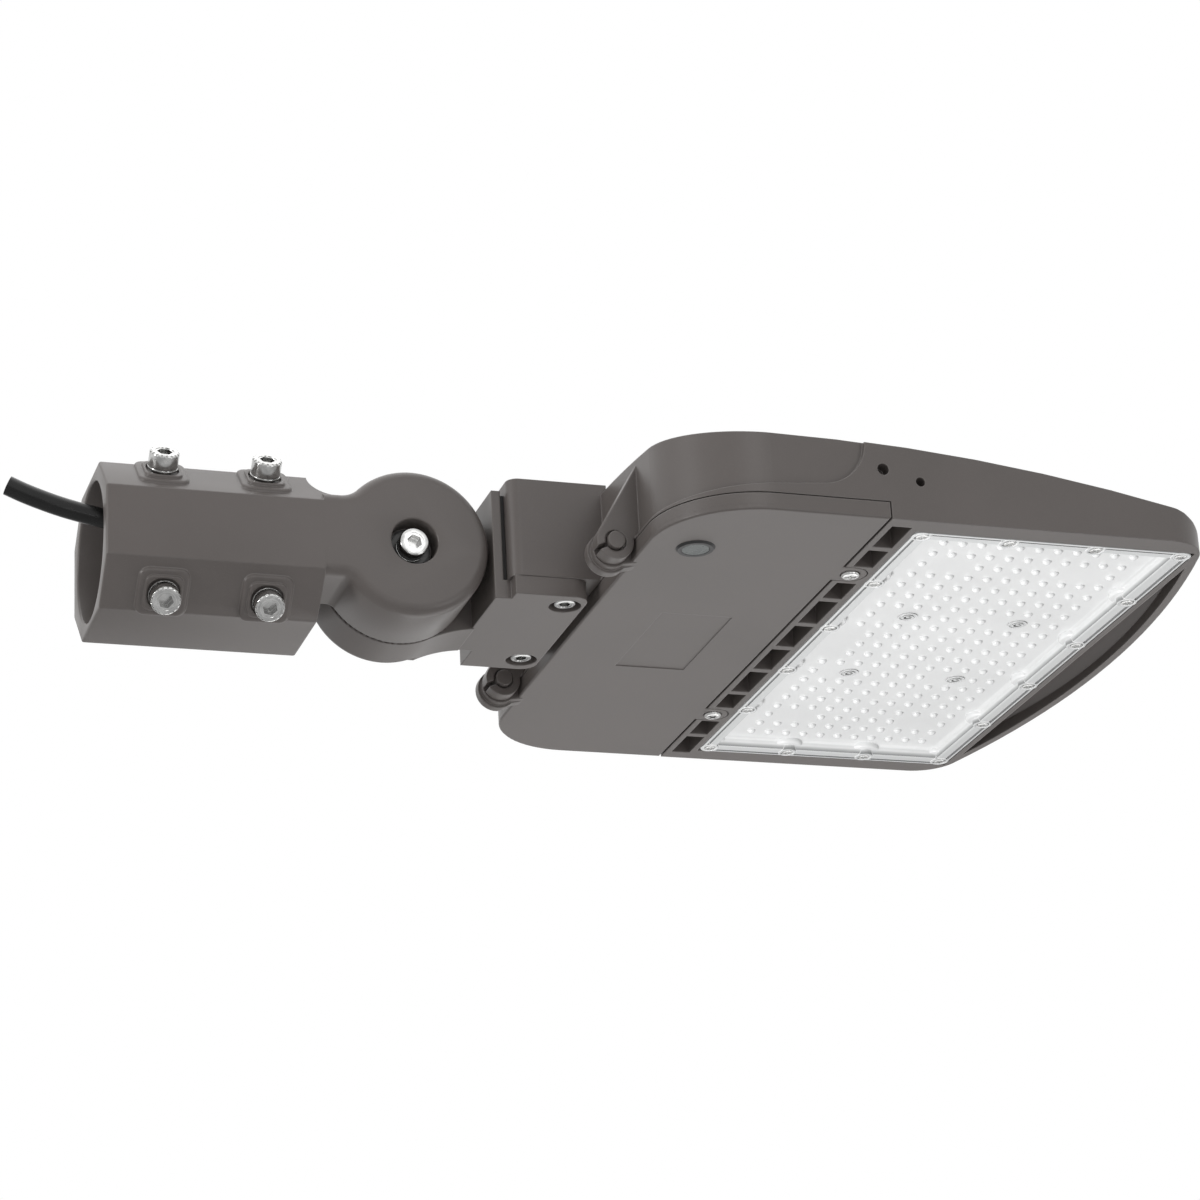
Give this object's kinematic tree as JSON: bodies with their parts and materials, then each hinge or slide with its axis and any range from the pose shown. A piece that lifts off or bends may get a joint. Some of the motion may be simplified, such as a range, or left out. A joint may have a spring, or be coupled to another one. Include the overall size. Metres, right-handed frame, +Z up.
{
  "type": "shoebox area light",
  "caption": "Flat outdoor area light with an LED panel under a finned housing, a hinged driver door and a toothed tilting knuckle on a slip fitter for a round pole tenon.",
  "frame": {"origin": "centre of the tenon socket's mouth, on the socket's axis", "axes": "+X from the socket's mouth to the light's front, +Z up, so that the LED panel faces -Z; the knuckle and door hinge axes run along Y"},
  "size_m": [0.5177, 0.304, 0.078],
  "materials": {
    "bronze_fitter": "dark bronze powder coat on die-cast aluminium, fine texture",
    "bronze_bracket": "dark bronze powder coat on die-cast aluminium, fine texture",
    "bronze_housing": "dark bronze powder coat on die-cast aluminium, fine texture",
    "bronze_door": "dark bronze powder coat on die-cast aluminium, fine texture",
    "zinc_bolts": "bright zinc plated steel",
    "zinc_screws": "stainless steel screws",
    "black_rubber": "matt black rubber",
    "white_rubber": "white silicone",
    "cord_jacket": "black cord jacket, slightly glossy",
    "black_plastic": "black nylon",
    "cream_plastic": "off-white nylon",
    "driver_case": "plain aluminium case",
    "board_white": "white solder mask",
    "led_yellow": "phosphor under clear resin",
    "lens_clear": "clear moulded polycarbonate, slightly hazy",
    "window_grey": "grey translucent plastic"
  },
  "bodies": {
    "slip_fitter": {"slipfitter_sleeve": "bronze_fitter", "pivot_bolt": "zinc_bolts", "pivot_spring_washer": "zinc_bolts", "pivot_flat_washer": "zinc_bolts", "cord_gland": "black_plastic", "supply_cord": "cord_jacket"},
    "bolt_upper_rear": {"clamp_bolt_upper_rear": "zinc_bolts"},
    "bolt_upper_front": {"clamp_bolt_upper_front": "zinc_bolts"},
    "bolt_lower_rear": {"clamp_bolt_lower_rear": "zinc_bolts"},
    "bolt_lower_front": {"clamp_bolt_lower_front": "zinc_bolts"},
    "light_head": {"knuckle_bracket": "bronze_bracket", "pivot_nut": "zinc_bolts", "arm_gasket": "black_rubber", "bracket_bolts": "zinc_bolts", "housing": "bronze_housing", "door_gasket": "black_rubber", "led_driver": "driver_case", "driver_screws": "zinc_screws", "surge_protector": "black_plastic", "terminal_block": "cream_plastic", "accessory_screws": "zinc_screws", "wire_bushing": "black_rubber", "led_board": "board_white", "leds": "led_yellow", "board_screws": "zinc_screws", "lens_gasket": "white_rubber", "lens_plate": "lens_clear", "lens_screws": "zinc_screws"},
    "door": {"driver_door": "bronze_door", "door_screws": "zinc_screws", "screw_retainers": "black_plastic", "sensor_cap": "black_plastic", "sensor_window": "window_grey", "sensor_nut": "black_plastic"}
  },
  "joints": [
    {"name": "knuckle_tilt", "type": "hinge", "parent": "slip_fitter", "child": "light_head", "pos_m": [0.135, 0, 0], "axis": [0, 1, 0], "range_deg": [-90, 90]},
    {"name": "door_hinge", "type": "hinge", "parent": "light_head", "child": "door", "pos_m": [0.208, 0, -0.0166], "axis": [0, 1, 0], "range_deg": [0, 90]},
    {"name": "clamp_upper_rear", "type": "slide", "parent": "slip_fitter", "child": "bolt_upper_rear", "axis": [0, 0.7071, -0.7071], "range_m": [-0.006, 0.0015]},
    {"name": "clamp_upper_front", "type": "slide", "parent": "slip_fitter", "child": "bolt_upper_front", "axis": [0, 0.7071, -0.7071], "range_m": [-0.006, 0.0015]},
    {"name": "clamp_lower_rear", "type": "slide", "parent": "slip_fitter", "child": "bolt_lower_rear", "axis": [0, 0.7071, 0.7071], "range_m": [-0.006, 0.0015]},
    {"name": "clamp_lower_front", "type": "slide", "parent": "slip_fitter", "child": "bolt_lower_front", "axis": [0, 0.7071, 0.7071], "range_m": [-0.006, 0.0015]}
  ]
}
